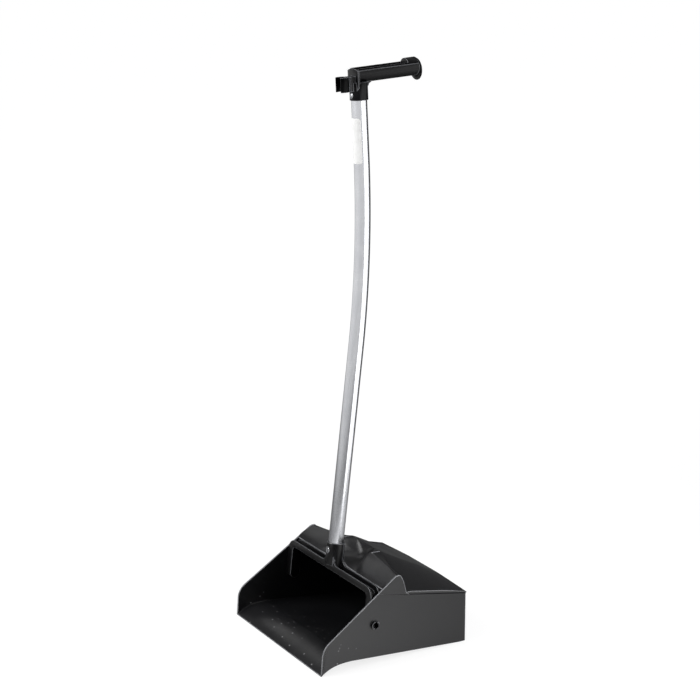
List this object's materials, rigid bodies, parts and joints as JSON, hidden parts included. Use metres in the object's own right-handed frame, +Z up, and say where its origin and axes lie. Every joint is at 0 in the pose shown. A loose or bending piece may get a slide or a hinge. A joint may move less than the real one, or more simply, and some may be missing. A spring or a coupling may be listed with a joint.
{
  "type": "lobby dustpan",
  "caption": "Upright lobby dustpan: hooded moulded pan on a swinging yoke, bent tube handle, trough-shaped grip and a spring clip that holds a broom.",
  "frame": {"origin": "middle of the pan's footprint, on the floor", "axes": "+Z up, -Y out of the mouth, +X to the right as seen from the mouth's side facing the pan"},
  "size_m": [0.3, 0.275, 0.9343],
  "materials": {
    "pan_plastic": "grained charcoal polypropylene",
    "yoke_plastic": "smooth charcoal moulding",
    "tube_aluminium": "satin anodised",
    "grip_plastic": "smooth black moulding",
    "clip_plastic": "smooth black moulding",
    "rivet_aluminium": "bright",
    "stem_steel": "broken stem"
  },
  "bodies": {
    "pan": {"pan": "pan_plastic"},
    "handle": {"yoke": "yoke_plastic", "handle_tube": "tube_aluminium", "grip": "grip_plastic", "broom_clip": "clip_plastic", "yoke_rivet": "rivet_aluminium", "yoke_rivet_stem": "stem_steel", "grip_rivet": "rivet_aluminium", "grip_rivet_stem": "stem_steel"}
  },
  "joints": [
    {"name": "handle_tilt", "type": "hinge", "parent": "pan", "child": "handle", "pos_m": [0, -0.039, 0.0654], "axis": [1, 0, 0], "range_deg": [0, 95]}
  ]
}
